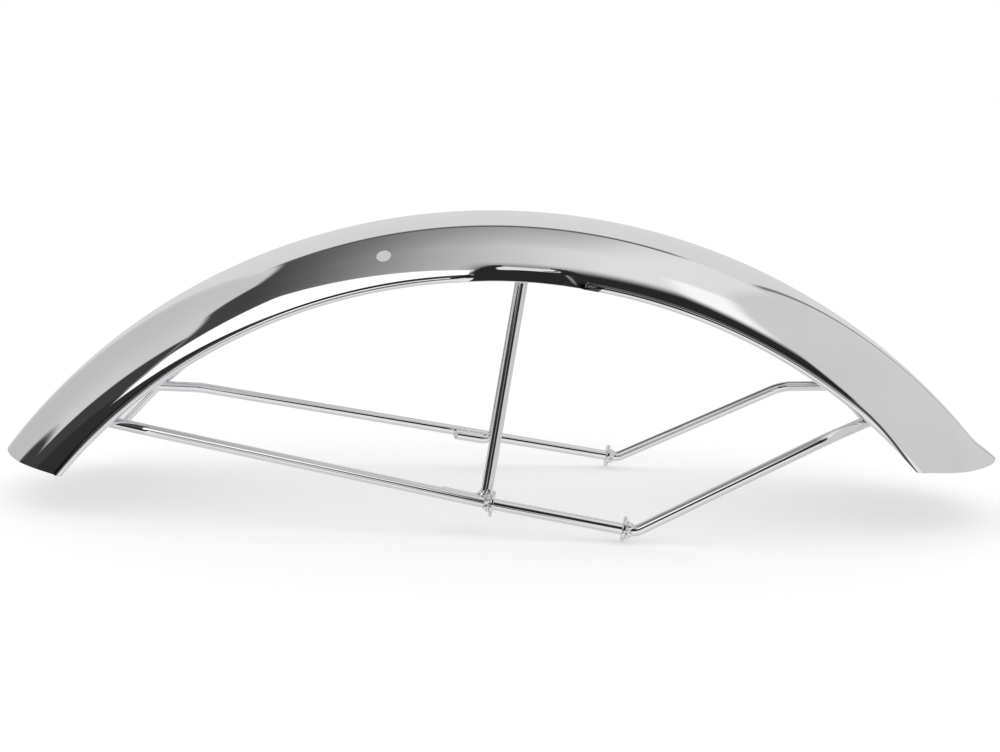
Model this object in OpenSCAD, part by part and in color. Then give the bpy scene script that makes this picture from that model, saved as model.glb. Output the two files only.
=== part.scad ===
// Motorcycle front mudguard with welded wire stays, chromed steel, in millimetres.
// The front of the machine is towards -X, its left side towards -Y, and up is +Z.
// The modules work from the wheel's centre. The whole part is then moved so that its
// origin lies under the middle of the part, on the surface that it rests on.

/* [Blade] */
// Radius of the outside of the blade along its crown, from the wheel's centre
crown_r = 360; // [330:1:400]
// Half of the blade's width
half_w = 60; // [55:0.5:68]
// Thickness of the sheet
wall = 1.2; // [0.8:0.1:1.6]
// Radius across the crown, outside
crown_arc_r = 80; // [74:1:90]
// Radius across each shoulder, outside
shoulder_r = 34; // [30:1:38]
// Depth from the crown to the lower edge, at the middle of the blade
mid_depth = 34; // [31:0.5:38]
// Height of the lower edge's centre above the wheel's centre, which deepens the ends
edge_rise = 16.6; // [10:0.2:20]
// Radius of the rolled bead along each lower edge
bead_r = 2; // [1.8:0.1:2.4]
// How far the bead stands out past the side of the blade
bead_proud = 0.9; // [0.6:0.1:1.1]

/* [Blade ends] */
// Angle of the front tip, measured at the wheel's centre on the crown
front_tip = 52.5; // [50:0.5:55]
// Angle of the front corners, measured at the lower edge's centre
front_corner = 50.6; // [48:0.2:52]
// Radius of the curve that trims the front end, seen from the side
front_cut_r = 178; // [120:1:400]
// Angle of the rear corners, measured at the lower edge's centre
rear_corner = 47.2; // [45:0.2:49]
// Angle at which the rear end starts to flare outwards
lip_start = 48.8; // [48:0.2:52]
// Angle of the flare, which bends outwards in two steps
lip_bend = 12; // [8:1:18]
// Length of the first step of the flare, along the crown
lip_step = 4; // [3:0.5:6]
// Length of the flared lip past that step, along the crown
lip_len = 14; // [10:0.5:18]

/* [Fork dents and side hole] */
// Place of the dents that clear the fork legs, behind the wheel's centre at the lower edge
dent_x = 13; // [-5:0.5:25]
// Radius of each dent
dent_r = 70; // [50:1:80]
// Lean of the dents, with their top towards the rear
dent_lean = 28; // [0:1:35]
// Depth of each dent at the lower edge
dent_depth = 5.5; // [4:0.25:7]
// Angle of the hole in the left side, ahead of the wheel's centre
hole_angle = 10.7; // [5:0.1:20]
// Tilt of the hole's axis round the left shoulder, from straight up
hole_tilt = 41.4; // [38:0.2:60]
// Diameter of the hole
hole_d = 8; // [5:0.1:10]

/* [Side stays] */
// Diameter of the stay rod
rod_d = 6.35; // [5.5:0.05:7.5]
// Centre-line radius of the rod's bends
rod_bend_r = 10; // [8:0.5:11]
// Place of the lowest bend, behind the wheel's centre
low_bend_x = 73.7; // [65:0.1:85]
// Place of the lowest bend, out from the middle of the part
low_bend_y = 83.2; // [80:0.1:95]
// Height of the lowest bend above the wheel's centre
low_bend_z = 198.2; // [190:0.1:205]
// Rise of the rod's stretch through the clamp, towards the front
clamp_rise = 8.904; // [6:0.001:12]
// Angle at which that stretch comes inwards, towards the front
clamp_toe = 3.092; // [0:0.001:6]
// Angle at which the front ends pass the bead, measured at the lower edge's centre
front_pass = 43.2; // [40:0.2:45]
// Distance from there back to the front bend
front_toe_run = 23.4; // [18:0.1:30]
// How far the front bend lies out from there
front_toe_out = 8.8; // [6:0.1:14]
// How far the front bend lies below there
front_toe_drop = 2.2; // [0:0.1:6]
// Angle at which the rear ends pass the bead, measured at the lower edge's centre
rear_pass = 40.2; // [38:0.2:43]
// Distance from there forward to the rear bend
rear_toe_run = 26.1; // [20:0.1:30]
// How far the rear bend lies out from there
rear_toe_out = 22.4; // [12:0.1:24]
// How far the rear bend lies below there
rear_toe_drop = 5.2; // [2:0.1:8]
// Length of rod past the bead, inside the blade
tail_len = 9; // [8:0.5:11]

/* [Clamp flanges] */
// Diameter of the four flanges
flange_d = 14; // [12:0.5:18]
// Thickness of the flanges
flange_t = 1.7; // [1.4:0.1:2.2]
// Free length of rod between two flanges, where the fork's clamp sits
clamp_len = 69; // [60:0.5:75]
// Gap between the rod and the bore of a flange
flange_fit = 0.03; // [0.02:0.01:0.1]
// Distance from the lowest bend to the rear flange's outer face
flange_back = 5.4; // [5:0.1:8]
// Distance from the front flange's outer face to the slight bend ahead of it
flange_past = 2.14; // [1.5:0.01:4]
// Length of the weld behind each flange
flange_weld_len = 2.2; // [1:0.1:2.5]
// Height of the weld at the flange
flange_weld_h = 1.6; // [1:0.1:2.5]

/* [Centre stay] */
// Lean of the centre stay, with its top towards the rear
stay_lean = 8.4; // [0:0.2:12]
// Distance from the side rods' slight bend forward to the foot's bend
foot_ahead = 1.5; // [1:0.1:10]
// Turn of the foot round the side rod, above level
foot_turn = -9.4; // [-25:0.2:25]
// Length of each foot along the side rod
foot_len = 25.2; // [20:0.1:35]
// Bend radius at the foot
foot_bend_r = 7; // [6:0.5:10]
// Bend radius under the shoulders
stay_shoulder_r = 20; // [14:1:24]
// Gap between the legs and the pressed-in side of the blade
leg_clear = 1; // [0.5:0.1:3]

/* [Welds] */
// Radius of the welds at the ends of the side rods
end_weld_r = 4.2; // [3.8:0.1:5]
// Radius of the weld runs in the grooves
groove_weld_r = 1.8; // [1.5:0.1:2.2]
// Length of the welds between the feet and the side rods
foot_weld_len = 14; // [8:0.5:18]
// Length of the welds between the centre stay and the crown
crown_weld_len = 14; // [8:0.5:20]
// Gap left between parts that lie side by side
seat_gap = 0.1; // [0.05:0.05:0.2]

/* [Hidden] */
$fn = 96;

lap = 0.1;
fuller = 0.04;

chrome = [0.80, 0.81, 0.83];
rod_chrome = [0.72, 0.74, 0.77];
flange_chrome = [0.62, 0.64, 0.68];

// Across the blade: the shoulder arcs touch the crown arc and the flat sides
shoulder_y = half_w - shoulder_r;
crown_c = crown_r - crown_arc_r;
shoulder_turn = asin(shoulder_y / (crown_arc_r - shoulder_r));
shoulder_z = crown_c + (crown_arc_r - shoulder_r) * cos(shoulder_turn);

// Along the lower edge
edge_r = crown_r - mid_depth - edge_rise;
bead_ring_r = edge_r + bead_r;
bead_y = half_w + bead_proud - bead_r;
trim_r = edge_r + 0.2 * bead_r;

function on_edge(a) = [bead_ring_r * sin(a), edge_rise + bead_ring_r * cos(a)];
function along(a) = [sin(a), 0, cos(a)];
function unit(v) = v / norm(v);

// Ends of the blade, in side view as [x, z]
front_tip_at = crown_r * [-sin(front_tip), cos(front_tip)];
front_corner_at = on_edge(-front_corner);
front_chord = front_corner_at - front_tip_at;
front_cut_at = (front_tip_at + front_corner_at) / 2
             + [front_chord[1], -front_chord[0]] / norm(front_chord)
             * sqrt(pow(front_cut_r, 2) - pow(norm(front_chord) / 2, 2));
rear_corner_at = on_edge(rear_corner);
// Where each step of the flare starts on the crown, and the angle of its normal
step_angle = [lip_start - lip_bend / 2, lip_start - lip_bend];
step_from = [crown_r * [sin(lip_start), cos(lip_start)],
             crown_r * [sin(lip_start), cos(lip_start)]
             + lip_step * [cos(step_angle[0]), -sin(step_angle[0])]];
lip_tip_at = step_from[1] + lip_len * [cos(step_angle[1]), -sin(step_angle[1])];
rear_cut_angle = atan2(rear_corner_at[1] - lip_tip_at[1], lip_tip_at[0] - rear_corner_at[0]);

// Side stays: y is the distance out from the middle, the same on both sides
rod_r = rod_d / 2;
front_toe = [front_toe_run, front_toe_out, -front_toe_drop];
rear_toe = [-rear_toe_run, rear_toe_out, -rear_toe_drop];

// How far inside the bead's centre a rod passes, so that it and its bend just clear the bead
function level(v) = [v[0], 0, v[2]];
function pass_gap(toe, a) =
    (bead_r + rod_r + 2 * seat_gap) / abs(unit(cross(toe, [cos(a), 0, -sin(a)]))[1])
    + rod_bend_r * (1 / cos(acos(unit(toe) * unit(level(toe))) / 2) - 1);

front_in = [on_edge(-front_pass)[0], bead_y - pass_gap(front_toe, -front_pass),
            on_edge(-front_pass)[1]];
rear_in = [on_edge(rear_pass)[0], bead_y - pass_gap(rear_toe, rear_pass),
           on_edge(rear_pass)[1]];
front_bend = front_in + front_toe;
rear_bend = rear_in + rear_toe;
front_end = front_in - tail_len * unit(level(front_toe));
rear_end = rear_in - tail_len * unit(level(rear_toe));
clamp_dir = [-cos(clamp_rise) * cos(clamp_toe), -cos(clamp_rise) * sin(clamp_toe),
             sin(clamp_rise)];
low_bend = [low_bend_x, low_bend_y, low_bend_z];
clamp_bend = low_bend + (flange_back + clamp_len + 2 * flange_t + flange_past) * clamp_dir;
side_path = [front_end, front_in, front_bend, clamp_bend, low_bend, rear_bend, rear_in, rear_end];
side_radii = [0, for (i = [1:6]) rod_bend_r, 0];

// Flanges on the clamp's stretch of rod, from the lowest bend forward
rear_flange_at = low_bend + (flange_back + flange_t / 2) * clamp_dir;
front_flange_at = rear_flange_at + (clamp_len + flange_t) * clamp_dir;

// Centre stay: its foot lies along the inner side of the side rod
front_run_dir = unit(front_bend - clamp_bend);
foot_up = [0, -cos(foot_turn), sin(foot_turn)];
foot_side = unit(foot_up - (foot_up * front_run_dir) * front_run_dir);
foot_bend = clamp_bend + foot_ahead * front_run_dir + (rod_d + seat_gap) * foot_side;
foot_end = foot_bend + foot_len * front_run_dir;

// Its upper part lies in a leaning plane: heights run along the lean from the foot's bend
lean_dir = along(stay_lean);
arch_r = crown_arc_r - wall - rod_r - 2 * seat_gap;
apex_r = crown_r - wall - rod_r - 2 * seat_gap;
lean_base = foot_bend[0] * sin(stay_lean) + foot_bend[2] * cos(stay_lean);
apex_h = -lean_base + sqrt(pow(lean_base, 2) + pow(apex_r, 2)
                           - pow(foot_bend[0], 2) - pow(foot_bend[2], 2));
edge_h = (edge_rise + edge_r - foot_bend[2]) / cos(stay_lean);
leg_top_y = half_w - wall - dent_depth - rod_r - leg_clear;
splay = atan2(foot_bend[1] - leg_top_y, edge_h);
arch_h = apex_h - arch_r;
leg_off = foot_bend[1] * cos(splay) - arch_h * sin(splay);
bend_along = sqrt(pow(arch_r - stay_shoulder_r, 2) - pow(leg_off - stay_shoulder_r, 2));
bend_at = (leg_off - stay_shoulder_r) * [cos(splay), sin(splay)]
        + bend_along * [-sin(splay), cos(splay)];
arch_turn = atan2(bend_at[0], bend_at[1]);
shoulder_tan = stay_shoulder_r * tan((90 - splay - arch_turn) / 2);

function in_lean(y, h) = [foot_bend[0], 0, foot_bend[2]] + h * lean_dir + [0, y, 0];
shoulder_knee = in_lean(arch_r * sin(arch_turn) + shoulder_tan * cos(arch_turn),
                        arch_h + arch_r * cos(arch_turn) - shoulder_tan * sin(arch_turn));
arch_knee = in_lean(0, arch_h + arch_r / cos(arch_turn));
function other_side(p) = [p[0], -p[1], p[2]];
stay_path = [foot_end, foot_bend, shoulder_knee, arch_knee,
             other_side(shoulder_knee), other_side(foot_bend), other_side(foot_end)];
stay_radii = [0, foot_bend_r, stay_shoulder_r, arch_r, stay_shoulder_r, foot_bend_r, 0];

// Move from the wheel's centre to the part's own origin
rest_z = rear_flange_at[2] - flange_d / 2 * sqrt(1 - pow(clamp_dir[2], 2))
       - flange_t / 2 * abs(clamp_dir[2]);
mid_x = (lip_tip_at[0] + front_tip_at[0]) / 2;

// Puts a shape's own X and Y along the given directions at a point
module place(at, x, y) {
    z = cross(x, y);
    multmatrix([[x[0], y[0], z[0], at[0]],
                [x[1], y[1], z[1], at[1]],
                [x[2], y[2], z[2], at[2]]])
        children();
}

// Puts a shape's own Z along a direction at a point
module aim(at, dir) {
    side = unit(cross(abs(dir[2]) < 0.9 ? [0, 0, 1] : [1, 0, 0], dir));
    place(at, side, cross(dir, side)) children();
}

// Moves a shape from the wheel's centre to the part's frame
module part_frame() {
    translate([-mid_x, 0, -rest_z]) children();
}

// Rod through a list of points, with its own bend radius at each. The bends are a hair
// fuller than the straights and lap over them, so that the pieces join cleanly.
module bent_rod(points, radii, d) {
    last = len(points) - 1;
    dirs = [for (i = [0:last - 1]) unit(points[i + 1] - points[i])];
    turns = [for (i = [0:last]) (i == 0 || i == last) ? 0
             : acos(max(-1, min(1, dirs[i - 1] * dirs[i])))];
    cuts = [for (i = [0:last]) radii[i] * tan(turns[i] / 2)];
    for (i = [0:last - 1]) {
        before = i == 0 ? 0 : lap;
        after = i == last - 1 ? 0 : lap;
        run = norm(points[i + 1] - points[i]) - cuts[i] - cuts[i + 1];
        if (run > 0.01)
            aim(points[i] + (cuts[i] - before) * dirs[i], dirs[i])
                cylinder(d = d, h = run + before + after);
    }
    for (i = [1:last - 1]) {
        wide = radii[i] > 2 * stay_shoulder_r;
        over = (wide ? 1 : 3) * lap / radii[i] * 180 / PI;
        inwards = unit(dirs[i] - (dirs[i] * dirs[i - 1]) * dirs[i - 1]);
        place(points[i] - cuts[i] * dirs[i - 1] + radii[i] * inwards, -inwards, dirs[i - 1])
            rotate([0, 0, -over]) rotate_extrude(angle = turns[i] + 2 * over)
                translate([radii[i], 0]) circle(d = wide ? d : d + fuller);
    }
}

// Points across the blade from one side to the other, inset by t
function across(t) = concat(
    [for (a = [90:-5:shoulder_turn + 2.5])
        [shoulder_z + (shoulder_r - t) * cos(a), shoulder_y + (shoulder_r - t) * sin(a)]],
    [for (k = [6:-1:-6]) let (a = k / 6 * shoulder_turn)
        [crown_c + (crown_arc_r - t) * cos(a), (crown_arc_r - t) * sin(a)]],
    [for (a = [90:-5:shoulder_turn + 2.5]) let (b = a - 90 - shoulder_turn - 2.5)
        [shoulder_z + (shoulder_r - t) * cos(b), (shoulder_r - t) * sin(b) - shoulder_y]]);

// Solid outline across the blade, inset by t; X is the distance from the wheel's centre
module section(t) {
    low = edge_r - shoulder_r;
    polygon(concat([[low, half_w - t]], across(t), [[low, t - half_w]]));
}

// The blade as a solid, inset by t, before its edges are trimmed
module blade_body(t) {
    rotate([90, 0, 0]) rotate([0, 0, 90 - lip_start])
        rotate_extrude(angle = lip_start + front_tip + 4) section(t);
    for (k = [0, 1])
        place([step_from[k][0], 0, step_from[k][1]] - crown_r * along(step_angle[k]),
              along(step_angle[k]), [0, -1, 0])
            translate([0, 0, -lip_len]) linear_extrude((k == 0 ? lip_step : 2 * lip_len) + lip_len)
                section(t);
}

// Round tool that presses a dent for a fork leg into each side
module dent_tools(r) {
    for (s = [-1, 1])
        translate([dent_x, s * (half_w - dent_depth + dent_r), edge_rise + edge_r])
            rotate([0, dent_lean, 0]) cylinder(r = r, h = 2 * half_w, center = true);
}

// What trims the two ends, seen from the side
module end_cuts() {
    translate([front_cut_at[0], 0, front_cut_at[1]]) rotate([90, 0, 0])
        cylinder(r = front_cut_r, h = 3 * half_w, center = true);
    translate([rear_corner_at[0], 0, rear_corner_at[1]]) rotate([0, rear_cut_angle, 0])
        translate([-half_w, -1.5 * half_w, -crown_r / 2]) cube([crown_r, 3 * half_w, crown_r / 2]);
}

// Rolled beads along both lower edges
module edge_beads() {
    sweep = front_corner + rear_corner + 8;
    for (s = [-1, 1]) translate([0, s * bead_y, edge_rise]) rotate([90, 0, 0])
        rotate([0, 0, 90 - rear_corner - 4]) rotate_extrude(angle = sweep)
            translate([bead_ring_r, 0]) circle(bead_r);
}

// Space under the sheet, which the weld runs fill up to the metal
module under_blade() {
    difference() {
        blade_body(wall);
        dent_tools(dent_r + wall);
    }
}

module blade() {
    color(chrome) part_frame() difference() {
        union() {
            difference() {
                blade_body(0);
                dent_tools(dent_r);
                under_blade();
                translate([0, 0, edge_rise]) rotate([90, 0, 0])
                    cylinder(r = trim_r, h = 3 * half_w, center = true);
            }
            difference() {
                edge_beads();
                dent_tools(dent_r);
            }
        }
        end_cuts();
        rotate([0, -hole_angle, 0]) translate([0, -shoulder_y, shoulder_z])
            rotate([hole_tilt, 0, 0]) translate([0, 0, shoulder_r - hole_d])
                cylinder(d = hole_d, h = 2 * hole_d);
    }
}

// Weld between the end of a side rod and the inside of the blade, clear of the bead
module end_weld(at) {
    intersection() {
        translate(at + [0, rod_r, 0]) sphere(end_weld_r);
        blade_body(wall + seat_gap / 2);
    }
}

// Cone-shaped weld on the outer face of a flange
module flange_weld(at, dir) {
    aim(at + flange_t / 2 * dir, dir)
        cylinder(r1 = rod_r + flange_weld_h, r2 = rod_r + 0.2, h = flange_weld_len);
}

module side_stay() {
    bent_rod(side_path, side_radii, rod_d);
    end_weld(front_end);
    end_weld(rear_end);
    flange_weld(rear_flange_at, -clamp_dir);
    flange_weld(front_flange_at, clamp_dir);
}

module right_side_stay() {
    color(rod_chrome) part_frame() side_stay();
}

module left_side_stay() {
    color(rod_chrome) part_frame() mirror([0, 1, 0]) side_stay();
}

module flange(at) {
    aim(at - flange_t / 2 * clamp_dir, clamp_dir) difference() {
        cylinder(d = flange_d, h = flange_t);
        translate([0, 0, -1]) cylinder(d = rod_d + 2 * flange_fit, h = flange_t + 2);
    }
}

module right_front_flange() {
    color(flange_chrome) part_frame() flange(front_flange_at);
}

module right_rear_flange() {
    color(flange_chrome) part_frame() flange(rear_flange_at);
}

module left_front_flange() {
    color(flange_chrome) part_frame() mirror([0, 1, 0]) flange(front_flange_at);
}

module left_rear_flange() {
    color(flange_chrome) part_frame() mirror([0, 1, 0]) flange(rear_flange_at);
}

// Welds along both sides of the groove between a foot and its side rod
module foot_weld() {
    over = cross(foot_side, front_run_dir);
    from = foot_bend + (foot_len - foot_weld_len) / 2 * front_run_dir
         - (rod_d + seat_gap) / 2 * foot_side;
    difference() {
        for (s = [-1, 1])
            aim(from + s * 0.7 * rod_r * over, front_run_dir)
                cylinder(r = groove_weld_r, h = foot_weld_len);
        aim(clamp_bend, front_run_dir) cylinder(r = rod_r + seat_gap, h = foot_len * 2);
    }
}

// Welds on both sides of the tube, under the crown
module crown_weld() {
    intersection() {
        for (s = [-1, 1])
            aim(in_lean(-crown_weld_len / 2, apex_h) + [s * rod_r, 0, 0.5], [0, 1, 0])
                cylinder(r = groove_weld_r, h = crown_weld_len);
        blade_body(wall + seat_gap / 2);
    }
}

module centre_stay() {
    color(rod_chrome) part_frame() {
        bent_rod(stay_path, stay_radii, rod_d);
        for (s = [0, 1]) mirror([0, s, 0]) foot_weld();
        crown_weld();
    }
}

blade();
left_side_stay();
right_side_stay();
centre_stay();
left_front_flange();
left_rear_flange();
right_front_flange();
right_rear_flange();
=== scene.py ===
# %% [markdown]
# # A chromed front mudguard for a motorcycle
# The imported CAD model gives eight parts: the blade, two side stays, the centre stay and four
# clamp flanges. They are the fixed frame. This lesson builds the same parts again with smooth
# surfaces, because a mirror shows every facet, and then lights them like a studio picture.

# %% Load the frame
import math
import random
import bpy
from mathutils import Matrix, Vector


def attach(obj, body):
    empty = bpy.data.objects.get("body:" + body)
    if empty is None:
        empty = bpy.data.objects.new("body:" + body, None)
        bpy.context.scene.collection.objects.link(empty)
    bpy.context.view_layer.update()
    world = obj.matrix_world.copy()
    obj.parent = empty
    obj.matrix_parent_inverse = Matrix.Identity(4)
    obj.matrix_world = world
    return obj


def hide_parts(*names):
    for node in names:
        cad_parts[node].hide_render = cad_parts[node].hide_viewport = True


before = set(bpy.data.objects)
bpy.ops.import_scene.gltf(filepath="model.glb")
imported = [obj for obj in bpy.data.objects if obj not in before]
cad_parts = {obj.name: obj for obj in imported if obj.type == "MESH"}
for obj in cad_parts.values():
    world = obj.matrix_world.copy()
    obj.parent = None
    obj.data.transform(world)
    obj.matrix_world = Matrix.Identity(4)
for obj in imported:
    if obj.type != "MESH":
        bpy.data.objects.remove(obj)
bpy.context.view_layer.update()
print("frame nodes:", sorted(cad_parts))

# %% [markdown]
# ## Where things are
# The mudguard is drawn round the wheel's centre, so all sizes below are millimetres from
# there. Blender works in metres, in the frame's own place. One helper does the change.

# %% Places
MM = 0.001
WHEEL = Vector((0.296338, 0.0, -192.12)) * MM
Y_AXIS = Vector((0, 1, 0))


def spot(x, y, z):
    """A point given in millimetres from the wheel's centre."""
    return WHEEL + MM * Vector((x, y, z))


def round_wheel(degrees, r=1.0, y=0.0):
    """A point at an angle round the wheel, from straight up towards the rear."""
    a = math.radians(degrees)
    return Vector((r * math.sin(a), y, r * math.cos(a)))


# %% [markdown]
# ## Working in edit mode
# Each operator acts on what is selected. These helpers start a piece from a primitive with
# nothing else selected, pick points by their place, and leave edit mode again.

# %% Edit mode helpers
def deselect():
    if bpy.context.mode != "OBJECT":
        bpy.ops.object.mode_set(mode="OBJECT")
    bpy.ops.object.select_all(action="DESELECT")


def name_piece(name):
    piece = bpy.context.object
    piece.name = piece.data.name = name
    return piece


def pick(piece, test):
    """Selects the points of a piece that pass a test on their place, in millimetres."""
    bpy.ops.object.mode_set(mode="OBJECT")
    mesh = piece.data
    for part in (mesh.polygons, mesh.edges):
        part.foreach_set("select", [False] * len(part))
    chosen = 0
    for point in mesh.vertices:
        point.select = bool(test((point.co - WHEEL) / MM))
        chosen += point.select
    bpy.ops.object.mode_set(mode="EDIT")
    bpy.ops.mesh.select_mode(type="VERT")
    return chosen


def reshape(piece, rule):
    """Moves every point of a piece by a rule on its place, in millimetres."""
    bpy.ops.object.mode_set(mode="OBJECT")
    for point in piece.data.vertices:
        point.co = WHEEL + MM * rule((point.co - WHEEL) / MM)
    piece.data.update()


def bake_place(piece):
    """Puts the place, turn and size of an object into its mesh."""
    deselect()
    piece.select_set(True)
    bpy.context.view_layer.objects.active = piece
    bpy.ops.object.transform_apply(location=True, rotation=True, scale=True)


def finish_mesh(piece, angle=35):
    """Merges doubles, turns the faces outwards and smooths all but the sharp edges."""
    deselect()
    piece.select_set(True)
    bpy.context.view_layer.objects.active = piece
    bpy.ops.object.mode_set(mode="EDIT")
    bpy.ops.mesh.select_all(action="SELECT")
    bpy.ops.mesh.remove_doubles(threshold=0.005 * MM)
    bpy.ops.mesh.normals_make_consistent(inside=False)
    bpy.ops.object.mode_set(mode="OBJECT")
    bpy.ops.object.shade_smooth_by_angle(angle=math.radians(angle))


def apply_modifier(piece, kind, **settings):
    deselect()
    piece.select_set(True)
    bpy.context.view_layer.objects.active = piece
    modifier = piece.modifiers.new(kind.title(), kind)
    for key, value in settings.items():
        setattr(modifier, key, value)
    bpy.ops.object.modifier_apply(modifier=modifier.name)


# %% [markdown]
# ## The blade's section
# Across the wheel the blade has a wide arc over the crown and a tighter arc down each side.
# One point is spun round the three centres in turn, as with a pair of compasses, which gives
# arcs that touch each other without a kink.

# %% Spin the section
CROWN_R, HALF_W, WALL = 360.0, 60.0, 1.2
CROWN_ARC, SHOULDER = 80.0, 34.0
SHOULDER_Y = HALF_W - SHOULDER
CROWN_C = CROWN_R - CROWN_ARC
TURN = math.degrees(math.asin(SHOULDER_Y / (CROWN_ARC - SHOULDER)))
SHOULDER_Z = CROWN_C + (CROWN_ARC - SHOULDER) * math.cos(math.radians(TURN))
LIP_START, FRONT_RAW = 48.3, -56.5

deselect()
bpy.ops.mesh.primitive_plane_add(
    size=MM, location=WHEEL + MM * round_wheel(LIP_START, SHOULDER_Z, -HALF_W))
blade = name_piece("mudguard_blade")
bake_place(blade)
bpy.ops.object.mode_set(mode="EDIT")
bpy.ops.mesh.select_all(action="SELECT")
bpy.ops.mesh.merge(type="CENTER")
ahead = round_wheel(LIP_START + 90)
for y, r, degrees, steps in ((-SHOULDER_Y, SHOULDER_Z, 90 - TURN, 30),
                             (0.0, CROWN_C, 2 * TURN, 52),
                             (SHOULDER_Y, SHOULDER_Z, 90 - TURN, 30)):
    bpy.ops.mesh.spin(steps=steps, angle=math.radians(degrees), dupli=False,
                      center=WHEEL + MM * round_wheel(LIP_START, r, y), axis=ahead)
bpy.ops.object.mode_set(mode="OBJECT")
print("section:", len(blade.data.vertices), "points, ends", blade.data.vertices[0].co[:],
      blade.data.vertices[-1].co[:])

# %% [markdown]
# ## Sweep the section round the wheel
# The whole arc is spun round the axle to give the double-curved sheet, as the rollers do on
# the real blade. The rear lip is one more spin, round a centre above the sheet, which bends it
# outwards, and a short straight run.

# %% Sweep the sheet and flare its lip
LIP_TURN, LIP_BEND_R, LIP_RUN, LIP_ROWS = 11.5, 50.0, 16.0, 6
bpy.ops.object.mode_set(mode="EDIT")
bpy.ops.mesh.select_all(action="SELECT")
bpy.ops.mesh.spin(steps=210, angle=math.radians(LIP_START - FRONT_RAW), dupli=False,
                  center=WHEEL, axis=Y_AXIS)


def at_lip(p):
    return abs(math.degrees(math.atan2(p.x, p.z)) - LIP_START) < 0.01


print("points at the lip's start:", pick(blade, at_lip))
bpy.ops.mesh.spin(steps=8, angle=math.radians(LIP_TURN), dupli=False, axis=Y_AXIS,
                  center=WHEEL + MM * round_wheel(LIP_START, CROWN_R + LIP_BEND_R))
lip_way = round_wheel(LIP_START - LIP_TURN + 90)
for step in range(LIP_ROWS):
    bpy.ops.mesh.extrude_region_move(
        TRANSFORM_OT_translate={"value": MM * LIP_RUN / LIP_ROWS * lip_way})
bpy.ops.object.mode_set(mode="OBJECT")
print("swept sheet:", len(blade.data.vertices), "points")

# %% [markdown]
# ## Trim the edges
# The lower edges follow a smaller circle, whose centre lies above the axle, so the blade grows
# deeper towards its ends. The front end is cut to a large circle. A cut through the mesh
# would leave slivers, which a mirror shows, so the outer rows are slid onto the trim instead.

# %% Slide the rows onto the trim
EDGE_RISE, EDGE_R, BEAD_R, BEAD_PROUD = 16.6, 309.4, 2.0, 0.9
TRIM_R = EDGE_R + 0.2 * BEAD_R
FRONT_CUT_R, KEEP = 178.0, -30.0
FRONT_CUT = Vector((-282.236, 0.0, 41.186))
REAR_CORNER, REAR_CUT = Vector((228.483, 0.0, 228.178)), 2.182


def edge_angle(turn):
    """Where the trim crosses a shoulder's arc, at an angle round the wheel."""
    a = math.radians(turn)
    r = EDGE_RISE * math.cos(a) + math.sqrt(TRIM_R ** 2 - (EDGE_RISE * math.sin(a)) ** 2)
    return math.degrees(math.acos((r - SHOULDER_Z) / SHOULDER))


def front_angle(r):
    """Where a circle round the axle meets the curve that trims the front end."""
    far = math.hypot(FRONT_CUT.x, FRONT_CUT.z)
    k = (r * r + far * far - FRONT_CUT_R ** 2) / (2 * r * far)
    return math.degrees(math.atan2(FRONT_CUT.x, FRONT_CUT.z) + math.acos(k))


def trim(p):
    start = turn = math.degrees(math.atan2(p.x, p.z))
    if start > LIP_START + 0.01:
        return p
    r, y = math.hypot(p.x, p.z), p.y
    lean = math.degrees(math.atan2(abs(y) - SHOULDER_Y, r - SHOULDER_Z))
    for again in range(5):
        if lean > TURN + 0.01:
            share = (edge_angle(turn) - TURN) / (90 - TURN)
            a = math.radians(TURN + (lean - TURN) * share)
            r = SHOULDER_Z + SHOULDER * math.cos(a)
            y = math.copysign(SHOULDER_Y + SHOULDER * math.sin(a), p.y)
        if start < KEEP:
            turn = KEEP + (start - KEEP) * (front_angle(r) - KEEP) / (FRONT_RAW - KEEP)
    return round_wheel(turn, r, y)


reshape(blade, trim)
cut_normal = round_wheel(REAR_CUT)
pick(blade, lambda p: p.x > 150)
bpy.ops.mesh.bisect(plane_co=spot(*REAR_CORNER), plane_no=cut_normal, clear_inner=True)
bpy.ops.object.mode_set(mode="OBJECT")
lowest = min(((v.co - WHEEL) / MM).z for v in blade.data.vertices)
print("trimmed sheet:", len(blade.data.vertices), "points, lowest", round(lowest, 2), "mm")

# %% [markdown]
# ## Press the dents for the fork legs
# A blunt bar is pressed into each side, so the sheet ends up no further out than the bar. The
# dent ends sooner in front than behind. It leans out a little towards the lower edge, and
# a small ledge closes it at the top. The change from sheet to dent is a little rounded.

# %% Press the dents
DENT_X, DENT_Y, DENT_LEAN = 5.5, 55.3, 28.0
DENT_FLAT, DENT_FRONT_R, DENT_REAR_R = 6.5, 80.0, 130.0
DENT_HIGH, DENT_TILT, DENT_LEDGE = 6.9, 0.19, 1.2
SHEET_ROUNDING, BEAD_ROUNDING = 0.8, 0.4
BEAD_SINK, BEAD_SQUASH, BEAD_FLAT, BEAD_REAR_R = 0.2, 0.25, 24.0, 25.0


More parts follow.
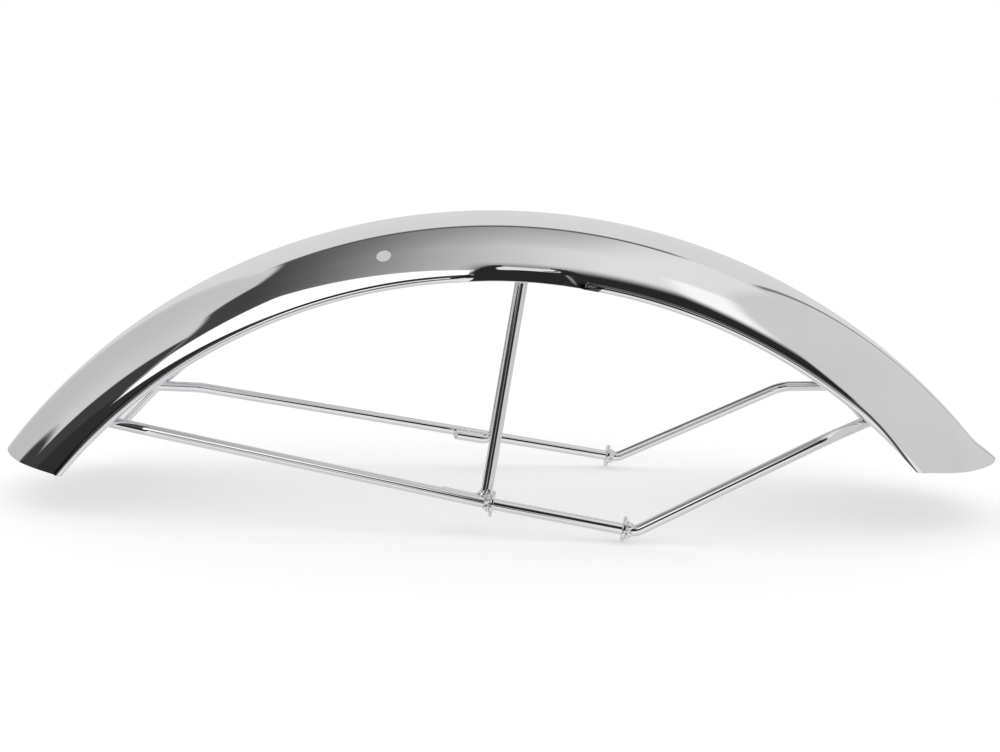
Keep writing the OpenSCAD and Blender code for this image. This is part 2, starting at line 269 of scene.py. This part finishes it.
def press(rounding, sink=0.0, squash=0.0, rear_flat=DENT_FLAT, rear_r=DENT_REAR_R):
    """The rule that holds points back to the dent's face."""
    lean = math.radians(DENT_LEAN)

    def rule(p):
        up = math.hypot(p.x, p.z - EDGE_RISE) - EDGE_R
        off = ((p.x - DENT_X) * math.cos(lean)
               - (p.z - EDGE_RISE - EDGE_R) * math.sin(lean))
        flat, r = (rear_flat, rear_r) if off > 0 else (0.0, DENT_FRONT_R)
        off = max(abs(off) - flat, 0.0)
        if off > r - 1:
            return p
        limit = DENT_Y - sink + r - math.sqrt(r ** 2 - off ** 2)
        limit += max(DENT_TILT * (DENT_HIGH - up), DENT_LEDGE * max(up - DENT_HIGH, 0.0) ** 2)
        limit -= squash * (HALF_W + BEAD_PROUD - abs(p.y))
        near = max(rounding - abs(abs(p.y) - limit), 0.0) / rounding
        out = min(abs(p.y), limit) - rounding * near ** 2 / 4
        return Vector((p.x, math.copysign(out, p.y), p.z))
    return rule


reshape(blade, press(SHEET_ROUNDING))

# %% [markdown]
# ## Give the sheet its thickness
# Until now the sheet has no thickness. Solidify adds the wall inwards, so the outside keeps
# its measured size. A round cutter then takes out the hole in the left side.

# %% Thicken the sheet and drill the hole
HOLE_TURN, HOLE_TILT, HOLE_D = -10.7, 41.4, 8.0
middle = min(blade.data.polygons, key=lambda f: (f.center - spot(0, 0, CROWN_R)).length)
if middle.normal.z < 0:
    bpy.ops.object.mode_set(mode="EDIT")
    bpy.ops.mesh.select_all(action="SELECT")
    bpy.ops.mesh.flip_normals()
    bpy.ops.object.mode_set(mode="OBJECT")
apply_modifier(blade, "SOLIDIFY", thickness=WALL * MM, offset=-1.0, use_even_offset=True)

tilt = math.radians(HOLE_TILT)
hole_way = (Matrix.Rotation(math.radians(HOLE_TURN), 3, "Y")
            @ Vector((0, -math.sin(tilt), math.cos(tilt))))
hole_from = round_wheel(HOLE_TURN, SHOULDER_Z, -SHOULDER_Y)
deselect()
bpy.ops.mesh.primitive_cylinder_add(
    vertices=48, radius=HOLE_D / 2 * MM, depth=10 * MM,
    location=WHEEL + MM * (hole_from + SHOULDER * hole_way),
    rotation=hole_way.to_track_quat("Z", "Y").to_euler())
drill = name_piece("drill")
apply_modifier(blade, "BOOLEAN", operation="DIFFERENCE", solver="EXACT", object=drill)
bpy.data.objects.remove(drill)
print("drilled sheet:", len(blade.data.polygons), "faces")

# %% [markdown]
# ## Roll the beads
# Each lower edge is rolled over a wire. A small circle spun along the edge makes the roll. It
# is cut off in line with the sheet's ends, pressed flat with the dents, and mirrored.

# %% Roll the beads
FRONT_CORNER, REAR_CORNER_TURN, SPARE = 50.6, 47.2, 4.0
edge_centre = Vector((0, 0, EDGE_RISE))
bead_y = HALF_W + BEAD_PROUD - BEAD_R
deselect()
first = round_wheel(REAR_CORNER_TURN + SPARE, EDGE_R + BEAD_R, -bead_y) + edge_centre
bpy.ops.mesh.primitive_circle_add(
    vertices=24, radius=BEAD_R * MM, fill_type="NOTHING", location=WHEEL + MM * first,
    rotation=(0, math.radians(REAR_CORNER_TURN + SPARE + 90), 0))
bead = name_piece("bead")
bake_place(bead)
bpy.ops.object.mode_set(mode="EDIT")
bpy.ops.mesh.select_all(action="SELECT")
bpy.ops.mesh.spin(steps=220, dupli=False, center=WHEEL + MM * edge_centre, axis=Y_AXIS,
                  angle=math.radians(FRONT_CORNER + REAR_CORNER_TURN + 2 * SPARE))
corner = round_wheel(-FRONT_CORNER, EDGE_R + BEAD_R) + edge_centre
for place, normal in ((REAR_CORNER, cut_normal), (corner, (corner - FRONT_CUT).normalized())):
    side = 1 if place.x > 0 else -1
    pick(bead, lambda p: side * p.x > 100)
    bpy.ops.mesh.bisect(plane_co=spot(*place), plane_no=normal, clear_inner=True,
                        use_fill=True)
reshape(bead, press(BEAD_ROUNDING, BEAD_SINK, BEAD_SQUASH, BEAD_FLAT, BEAD_REAR_R))
apply_modifier(bead, "MIRROR", use_axis=(False, True, False))
deselect()
bead.select_set(True)
blade.select_set(True)
bpy.context.view_layer.objects.active = blade
bpy.ops.object.join()
finish_mesh(blade, 38)
print("blade:", len(blade.data.polygons), "faces")

# %% [markdown]
# ## Bend the rods
# A stay is one rod, bent over a former at each corner. The same is done here: a disc the size
# of the rod is extruded along each straight and spun through each bend.

# %% Rod helper
ROD_D, BEND_R = 6.35, 10.0


def unit(v):
    return v / v.length


def bent_rod(name, points, radii, d=ROD_D, sides=40):
    points = [Vector(p) for p in points]
    ways = [unit(b - a) for a, b in zip(points, points[1:])]
    turns = [0.0] + [a.angle(b) for a, b in zip(ways, ways[1:])] + [0.0]
    cuts = [r * math.tan(t / 2) for r, t in zip(radii, turns)]
    deselect()
    bpy.ops.mesh.primitive_circle_add(
        vertices=sides, radius=d / 2 * MM, fill_type="NGON", location=spot(*points[0]),
        rotation=ways[0].to_track_quat("Z", "Y").to_euler())
    rod = name_piece(name)
    bake_place(rod)
    bpy.ops.object.mode_set(mode="EDIT")
    bpy.ops.mesh.select_all(action="SELECT")
    for i, way in enumerate(ways):
        run = (points[i + 1] - points[i]).length - cuts[i] - cuts[i + 1]
        pieces = max(1, round(run / 12))
        for step in range(pieces):
            bpy.ops.mesh.extrude_region_move(
                TRANSFORM_OT_translate={"value": MM * run / pieces * way})
        if i + 1 < len(ways):
            after = ways[i + 1]
            inwards = unit(after - after.dot(way) * way)
            centre = points[i + 1] - cuts[i + 1] * way + radii[i + 1] * inwards
            bpy.ops.mesh.spin(steps=max(6, round(math.degrees(turns[i + 1]) / 3)),
                              angle=turns[i + 1], dupli=False, center=spot(*centre),
                              axis=after.cross(way))
    finish_mesh(rod, 40)
    return rod


# %% [markdown]
# ## The side stays
# Each side stay runs from inside the blade's front, down past the fork leg, where the clamp
# holds it, and up again inside the blade's rear.

# %% Side stays
SIDE_PATH = ((-222.128, 52.7295, 244.443), (-213.168, 52.7295, 243.601),
             (-189.768, 61.5295, 241.401), (-5.16167, 78.94, 210.573), (73.7, 83.2, 198.2),
             (174.896, 72.7598, 249.246), (200.996, 50.3598, 254.446),
             (209.822, 50.3598, 256.205))
SIDE_RADII = (0, BEND_R, 20, BEND_R, BEND_R, 22, BEND_R, 0)
side_stays = []
for side, name in ((-1, "left_stay_rod"), (1, "right_stay_rod")):
    path = [(x, side * y, z) for x, y, z in SIDE_PATH]
    rod = bent_rod(name, path, SIDE_RADII)
    side_stays.append(rod)
    print(name, len(rod.data.polygons), "faces")

# %% [markdown]
# ## The centre stay
# One rod carries the blade's crown. It starts along one side rod, turns up, follows the
# inside of the blade under the crown, comes down and ends along the other side rod.

# %% Centre stay
FOOT_R, LEG_R, ARCH_R, FOOT_SLANT = 7, 20, 75.425, 0.45
STAY_HALF = ((-30.9738, 70.129, 213.828), (-6.2248, 72.4631, 209.695),
             (13.0215, 46.3096, 340.03))
stay_path = ([(x, -y, z) for x, y, z in STAY_HALF] + [(17.0625, 0, 367.397)]
             + list(reversed(STAY_HALF)))
centre_stay = bent_rod("centre_stay_tube", stay_path,
                       [0, FOOT_R, LEG_R, ARCH_R, LEG_R, FOOT_R, 0])

clamp_bend, front_bend = Vector(SIDE_PATH[3]), Vector(SIDE_PATH[2])
foot_way = unit(front_bend - clamp_bend)
foot_side = Vector(STAY_HALF[1]) - clamp_bend
foot_side = unit(foot_side - foot_side.dot(foot_way) * foot_way)


def slant(p):
    """Cuts the tips of the feet at a slant, longest where they touch the side rods."""
    from_tip = Vector((p.x, abs(p.y), p.z)) - Vector(STAY_HALF[0])
    if abs(from_tip.dot(foot_way)) > 0.5 or from_tip.length > ROD_D:
        return p
    back = FOOT_SLANT * (from_tip.dot(foot_side) + ROD_D / 2) * foot_way
    return p - Vector((back.x, math.copysign(back.y, p.y), back.z))


reshape(centre_stay, slant)
print("centre stay:", len(centre_stay.data.polygons), "faces")

# %% [markdown]
# ## The clamp flanges
# The fork's clamp sits between two small steel rings on each side. A ring is a disc, inset
# and pushed through, with its rims eased by a bevel.

# %% Flanges
FLANGE_D, FLANGE_T, FLANGE_GAP, FLANGE_RIM = 14.0, 1.7, 0.03, 0.25
CLAMP_WAY = Vector((-0.986511, -0.0532894, 0.154779))
FLANGES = {"front": Vector((-2.21201, 79.0994, 210.11)),
           "rear": Vector((67.5343, 82.8669, 199.167))}


def to_side(v, side):
    return Vector((v.x, side * v.y, v.z))


def ring(name, at, way, outer, inner, thick):
    """A flat ring: two circles bridged, given thickness by an extrusion."""
    turn = way.to_track_quat("Z", "Y").to_euler()
    deselect()
    bpy.ops.mesh.primitive_circle_add(vertices=64, radius=outer * MM, rotation=turn,
                                      location=spot(*(at - way * thick / 2)))
    piece = name_piece(name)
    bake_place(piece)
    bpy.ops.object.mode_set(mode="EDIT")
    bpy.ops.mesh.primitive_circle_add(vertices=64, radius=inner * MM, rotation=turn,
                                      location=spot(*(at - way * thick / 2)))
    bpy.ops.mesh.select_all(action="SELECT")
    bpy.ops.mesh.bridge_edge_loops()
    bpy.ops.mesh.extrude_region_move(TRANSFORM_OT_translate={"value": MM * thick * way})
    bpy.ops.object.mode_set(mode="OBJECT")
    apply_modifier(piece, "BEVEL", width=FLANGE_RIM * MM, segments=3, limit_method="ANGLE")
    finish_mesh(piece, 40)
    return piece


flanges = {}
for side, side_name in ((-1, "left"), (1, "right")):
    for end, at in FLANGES.items():
        node = f"{side_name}_{end}_flange"
        flanges[node] = ring(f"{side_name}_{end}_ring", to_side(at, side),
                             to_side(CLAMP_WAY, side), FLANGE_D / 2,
                             ROD_D / 2 + FLANGE_GAP, FLANGE_T)
print("rings:", sorted(flanges))

# %% [markdown]
# ## The welds
# A weld is a row of small lumps that have melted together. Round lumps of uneven size are set
# along the seam, remeshed into one skin, and joined to the rod they belong to.

# %% Welds
ROD_R = ROD_D / 2
COLLAR_SIZE, TACK_SIZE, SEAM_SIZE, CROWN_SIZE = 1.35, 1.7, 1.25, 1.4
COLLAR_ROWS = ((0.9, 0.5, 9), (2.5, -0.1, 7))  # from the face, past the rod, lumps
TACK_STEP, TACK_COUNT = 1.8, 5
SEAM_START, SEAM_STEP, SEAM_COUNT, SEAM_SPREAD = 3.0, 1.5, 13, 0.66
CROWN_X, CROWN_Z, CROWN_GAP, CROWN_STEP, CROWN_HALF = 15.24, 356.9, 3.2, 1.75, 7.0
uneven = random.Random(7)


def lay_weld(rod, places, size, fineness=0.35):
    """Lumps at the given places, in millimetres, fused and joined to a rod."""
    deselect()
    for k, place in enumerate(places):
        bpy.ops.mesh.primitive_ico_sphere_add(
            subdivisions=2, radius=size * uneven.uniform(0.8, 1.25) * MM, location=spot(*place))
        if k == 0:
            bpy.ops.object.mode_set(mode="EDIT")
    bpy.ops.object.mode_set(mode="OBJECT")
    lumps = name_piece("lumps")
    bake_place(lumps)
    apply_modifier(lumps, "REMESH", mode="VOXEL", voxel_size=fineness * MM)
    bpy.ops.object.mode_set(mode="EDIT")
    bpy.ops.mesh.select_all(action="SELECT")
    bpy.ops.mesh.vertices_smooth(factor=0.5, repeat=2)
    bpy.ops.object.mode_set(mode="OBJECT")
    bpy.ops.object.shade_smooth()
    rod.select_set(True)
    bpy.context.view_layer.objects.active = rod
    bpy.ops.object.join()


def around(at, way, reach, count):
    """Places round a rod, at a distance from its axis."""
    across = unit(way.cross(Y_AXIS))
    return [at + Matrix.Rotation(math.tau * (k + uneven.uniform(-0.3, 0.3)) / count, 3, way)
            @ across * reach for k in range(count)]


for side, rod in zip((-1, 1), side_stays):
    for end, way in (("front", CLAMP_WAY), ("rear", -CLAMP_WAY)):
        face = FLANGES[end] + way * FLANGE_T / 2
        collar = [place for ahead_by, past, count in COLLAR_ROWS
                  for place in around(face + ahead_by * way, way, ROD_R + past, count)]
        lay_weld(rod, [to_side(p, side) for p in collar], COLLAR_SIZE)
    for end in (SIDE_PATH[0], SIDE_PATH[-1]):
        inwards = 1 if end[0] < 0 else -1
        tack = [Vector(end)
                + Vector((inwards * k * TACK_STEP, ROD_R - 1.0, 0.7 - 0.5 * (k % 2)))
                for k in range(TACK_COUNT)]
        lay_weld(rod, [to_side(p, side) for p in tack], TACK_SIZE)
over_foot = foot_side.cross(foot_way)
seam = [Vector(STAY_HALF[1]) - foot_side * ROD_R + (SEAM_START + SEAM_STEP * k) * foot_way
        + rim * SEAM_SPREAD * ROD_R * over_foot for rim in (-1, 1) for k in range(SEAM_COUNT)]
for side in (-1, 1):
    lay_weld(centre_stay, [to_side(p, side) for p in seam], SEAM_SIZE)
across = [CROWN_STEP * k - CROWN_HALF for k in range(9)]
for front in (-1, 1):
    lay_weld(centre_stay, [Vector((CROWN_X + front * CROWN_GAP, y,
                                   CROWN_Z - 0.006 * y ** 2 - 0.1 * front))
                           for y in across], CROWN_SIZE)
for rod in (*side_stays, centre_stay):
    print(rod.name, "with welds:", len(rod.data.polygons), "faces")

# %% [markdown]
# ## Shader sums
# A small class wraps a socket, so that shader maths reads as ordinary sums. Any other node
# comes from one method, which takes the node's type, its settings and its inputs.

# %% Shader helper
class Socket:
    def __init__(self, tree, socket):
        self.tree, self.socket = tree, socket

    def maths(self, operation, *values):
        """One math node, with this socket as its first input."""
        node = self.tree.nodes.new("ShaderNodeMath")
        node.operation = operation
        for plug, value in zip(node.inputs, (self, *values)):
            if isinstance(value, Socket):
                self.tree.links.new(value.socket, plug)
            else:
                plug.default_value = value
        return Socket(self.tree, node.outputs[0])

    def __add__(self, other):
        return self.maths("ADD", other)

    def __mul__(self, other):
        return self.maths("MULTIPLY", other)

    def __sub__(self, other):
        return self.maths("SUBTRACT", other)

    def __rsub__(self, other):
        return (self * -1.0).maths("ADD", other)

    def step(self, low, high):
        """0 below low, 1 above high, and smooth between them."""
        node = self.tree.nodes.new("ShaderNodeMapRange")
        node.interpolation_type = "SMOOTHSTEP"
        self.tree.links.new(self.socket, node.inputs["Value"])
        node.inputs["From Min"].default_value = low
        node.inputs["From Max"].default_value = high
        return Socket(self.tree, node.outputs["Result"])

    __radd__, __rmul__ = __add__, __mul__


class Shader:
    """The nodes of one material or of the world."""

    def __init__(self, owner):
        owner.use_nodes = True
        self.tree = owner.node_tree
        self.tree.nodes.clear()

    def node(self, kind, settings=None, inputs=None, output=0):
        node = self.tree.nodes.new("ShaderNode" + kind)
        for key, value in (settings or {}).items():
            setattr(node, key, value)
        for key, value in (inputs or {}).items():
            if isinstance(value, Socket):
                self.tree.links.new(value.socket, node.inputs[key])
            else:
                node.inputs[key].default_value = value
        return Socket(self.tree, node.outputs[output]) if node.outputs else node


# %% [markdown]
# ## Bright chrome plate
# Chrome is a mirror with a faint blue cast. Its colour hardly changes, so what tells the eye
# that it is real is in the surface: slow waves from polishing the steel and a fine haze of
# polishing marks. On the blade a dark line of painted shade is laid into the colour in the
# crease where the sheet meets its rolled bead. The painted shade widens in the pocket behind
# the dent, and drops to the bead's underside at the rear.

# %% Chrome
# Place, size and colour of the painted shade along the crease and in the pocket behind the
# dent.
CREASE_R, CREASE_DROP, POCKET_SHADE_WIDTH = EDGE_R + BEAD_R + 1.75, 4.6, 4.0
CREASE_EDGE, CREASE_SIDE = (0.0004, 0.0010), (0.0580, 0.0584)
CREASE_DROPS, POCKET_FROM, POCKET_TO = (0.195, 0.235), (0.040, 0.043), (0.049, 0.055)
CREASE_SHADE_SHARE, CREASE_SHADE_COLOUR = 0.93, (0.02, 0.02, 0.022, 1)


def chrome(name, tint, haze, wave_size, wave_height, crease=False):
    material = bpy.data.materials.new(name)
    shader = Shader(material)
    place = shader.node("TexCoord", output="Object")
    cloud = shader.node("TexNoise", inputs={"Vector": place, "Scale": 24.0, "Detail": 3.0})
    marks = shader.node("TexNoise", inputs={"Vector": place, "Scale": 900.0, "Detail": 2.0})
    waves = shader.node("TexNoise", inputs={"Vector": place, "Scale": 1 / wave_size,
                                            "Detail": 1.0})
    colour = shader.node("Mix", {"data_type": "RGBA"},
                         {"Factor": cloud.step(0.3, 0.7), "A": (*tint, 1),
                          "B": (*(0.965 * t for t in tint), 1)}, output="Result")
    # Painted shade: a dark colour mixed into the chrome along the crease above the bead, wider
    # in the pocket behind the dent and lower at the rear.
    if crease:
        x, y, z = (shader.node("SeparateXYZ", inputs={"Vector": place}, output=k)
                   for k in range(3))
        up = z - (WHEEL.z + EDGE_RISE * MM)
        x = x - WHEEL.x
        reach = (x * x + up * up).maths("SQRT") + x.step(*CREASE_DROPS) * (CREASE_DROP * MM)
        off = (reach - CREASE_R * MM).maths("ABSOLUTE")
        in_pocket = x.step(*POCKET_FROM) * (1 - x.step(*POCKET_TO))
        off = off - in_pocket * (POCKET_SHADE_WIDTH * MM)
        shade = (1 - off.step(*CREASE_EDGE)) * y.maths("ABSOLUTE").step(*CREASE_SIDE)
        colour = shader.node("Mix", {"data_type": "RGBA"},
                             {"Factor": shade * CREASE_SHADE_SHARE, "A": colour, "B": CREASE_SHADE_COLOUR},
                             output="Result")
    bump = shader.node("Bump", inputs={"Strength": 1.0, "Distance": wave_height,
                                       "Height": waves})
    surface = shader.node("BsdfPrincipled", inputs={
        "Base Color": colour, "Metallic": 1.0, "Normal": bump,
        "Roughness": haze + cloud * 0.02 + marks * 0.015})
    shader.node("OutputMaterial", inputs={"Surface": surface})
    return material


blade_chrome = chrome("blade_chrome", (0.90, 0.905, 0.915), 0.015, 0.05, 0.00003, crease=True)
rod_chrome = chrome("rod_chrome", (0.88, 0.885, 0.90), 0.03, 0.02, 0.00002)
ring_chrome = chrome("ring_chrome", (0.80, 0.81, 0.83), 0.06, 0.008, 0.00002)

# %% [markdown]
# ## Onto the frame
# Each new piece rides on the one body, takes its chrome, and hides the CAD part that it
# stands for.

# %% Dress the frame
def dress(piece, material, node):
    piece.data.materials.clear()
    piece.data.materials.append(material)
    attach(piece, "root")
    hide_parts(node)


dress(blade, blade_chrome, "blade")
dress(side_stays[0], rod_chrome, "left_side_stay")
dress(side_stays[1], rod_chrome, "right_side_stay")
dress(centre_stay, rod_chrome, "centre_stay")
for node, piece in flanges.items():
    dress(piece, ring_chrome, node)

# %% [markdown]
# ## The camera
# The picture was taken from the left, a little above the blade, with a long lens.

# %% Camera
LENS, SENSOR, CAMERA_AT = 50.4, 36.0, Vector((0.01410, -0.79698, 0.21834))
camera = bpy.data.objects.new("camera", bpy.data.cameras.new("camera"))
bpy.context.scene.collection.objects.link(camera)
camera.data.lens, camera.data.sensor_width = LENS, SENSOR
camera.data.sensor_fit = "HORIZONTAL"
camera.data.clip_start, camera.data.clip_end = 0.01, 50.0
right = Vector((0.99953585, 0.02227434, 0.02078325))
up = Vector((-0.02444814, 0.17945514, 0.98346232))
back = right.cross(up)
camera.matrix_world = (Matrix.Translation(CAMERA_AT)
                       @ Matrix((right, up, back)).transposed().to_4x4())
bpy.context.scene.camera = camera

# %% [markdown]
# ## The studio
# A mirror shows its surroundings, so the room is what gives chrome its look. The room is
# painted on the world by two angles: how far over a direction goes, from behind the part (0)
# by straight up (90) to the camera's side (180), and how far it leans to the rear. A backdrop,
# a grey ceiling panel that fades to one side, a bright window in front and the dark cloths
# round it are soft-edged patches in a pale room. Only mirrors see them: the camera sees
# white, and matt things get plain even light.

# %% Room for the mirrors
world = bpy.data.worlds.new("studio")
bpy.context.scene.world = world
room = Shader(world)
way = room.node("TexCoord", output="Generated")
to_rear, to_right, to_top = (room.node("SeparateXYZ", inputs={"Vector": way}, output=k)
                             for k in range(3))
over = to_top.maths("ARCTAN2", to_right) * math.degrees(1)
over = over + over.maths("LESS_THAN", -90.0) * 360
lean = to_rear.maths("ARCSINE") * math.degrees(1)


def band(value, low, high, soft=1.0):
    """1 between two edges and 0 outside them, with soft borders."""
    return value.step(low - soft, low + soft) * (1 - value.step(high - soft, high + soft))


def put(under, level, mask):
    """Lays a patch of one brightness over what is there."""
    return under + (level - under) * mask


# The pale room: darker to the front, where it also gets lighter overhead
level = 0.66 - 0.10 * (1 - lean.step(-36, -28)) * (1 - over.step(20, 115))
# The backdrop behind, with the thin line of its edge
level = put(level, 0.73, band(lean, -31, 29) * (1 - over.step(49, 52)))
level = put(level, 0.20, band(lean, 28.3, 29.7, 0.4) * band(over, -10, 47, 3.0))
# The ceiling panel, which fades towards the front, with a seam behind and a light patch
fade = 0.42 * (1 - over.step(45, 90)) * (1 - lean.step(6, 22))
panel = (0.06 + 0.75 * lean.step(-38, 18)) * (1 - fade)
panel_end = -43.0 + 16.0 * (1 - over.step(44, 96))
on_panel = over.step(49.5, 51.5) * (1 - over.step(150, 152)) * (lean - panel_end).step(-1, 1)
on_panel = on_panel * (1 - lean.step(29, 33))
level = put(level, panel, on_panel)
level = put(level, 0.10, band(over, 49.5, 52.0, 0.8) * band(lean, -28, 20, 2.0))
level = put(level, 1.05, band(over, 100, 150, 4.0) * band(lean, 22, 31, 2.5))
# The pale room in front of the part, below the eye
level = put(level, 0.86, band(over, 170, 231, 4.0) * band(lean, -60, 28, 4.0))
# The dark cloths: in front to the rear, and in front to the front
cloth = (over - (lean - 21).maths("MAXIMUM", 0.0) * 1.6).step(119, 135)
cloth = cloth * lean.step(-7, -1) * (1 - lean.step(31.8, 33.4))
cloth = cloth.maths("MAXIMUM", over.step(147.5, 149.5) * band(lean, -12, 2))
cloth = cloth * (1 - (over + (lean - 24.5).maths("MAXIMUM", 0.0) * 1.67).step(175, 179))
level = put(level, 0.022, cloth)
level = put(level, 0.05, over.step(119, 123) * (1 - lean.step(-44, -42))
            * (1 - over.step(196, 204)))
level = put(level, 0.03, over.step(151, 154) * (1 - over.step(192, 197))
            * (1 - (lean + over * 0.37).step(32.6, 35.0)))
# Smaller things below the eye, and the dark far end of the room
level = put(level, 0.28, band(over, 151, 154.5, 1.2) * band(lean, -24, -4))
level = put(level, 0.20, band(over, 157, 174, 2.0) * band(lean, -25, -11, 2.0))
level = put(level, 0.03, band(over, 183, 199, 2.0) * band(lean, -12, -3.5, 1.5))
level = put(level, 0.35, band(over, 186, 200, 3.0) * band(lean, -26, -12, 2.0))
level = put(level, 0.05, 1 - lean.step(-70, -66))
# The bright window
window = (band(lean, -41.9, -4) * (over - lean * 0.64).step(138.5, 141.5)
          * (lean + over * 0.62).step(43.0, 45.0)
          * (1 - (over + lean * 0.3).step(144.5, 146.5)))
level = put(level, 1.30, window)

# %% [markdown]
# What each kind of ray sees is settled by Light Path. The room's patches are for mirrors. For
# everything else, and for the camera, the world is plain.

# %% World and floor
PLAIN_LIGHT, PAPER_GLOW, FLOOR_SIZE, FLOOR_Z = 0.85, 0.32, 12.0, -0.0005
is_camera = room.node("LightPath", output="Is Camera Ray")
is_glossy = room.node("LightPath", output="Is Glossy Ray")
plain = PLAIN_LIGHT + (1 - PLAIN_LIGHT) * is_camera
strength = put(plain, level, is_glossy)
light = room.node("Background", inputs={"Color": (1, 1, 1, 1), "Strength": strength})
room.node("OutputWorld", inputs={"Surface": light})
bpy.context.scene.view_settings.view_transform = "Standard"

deselect()
bpy.ops.mesh.primitive_plane_add(size=FLOOR_SIZE, location=(0, 0, FLOOR_Z))
floor = name_piece("floor")
paper = bpy.data.materials.new("floor_paper")
sheet = Shader(paper)
matt = sheet.node("BsdfDiffuse", inputs={"Color": (0.85, 0.85, 0.85, 1)})
seen = sheet.node("LightPath", output="Is Camera Ray")
glow = sheet.node("Emission", inputs={"Color": (1, 1, 1, 1), "Strength": seen * PAPER_GLOW})
both = sheet.node("AddShader", inputs={0: matt, 1: glow})
sheet.node("OutputMaterial", inputs={"Surface": both})
floor.data.materials.append(paper)
floor.visible_glossy = False
print("room and floor done:", len(world.node_tree.nodes), "nodes in the world")
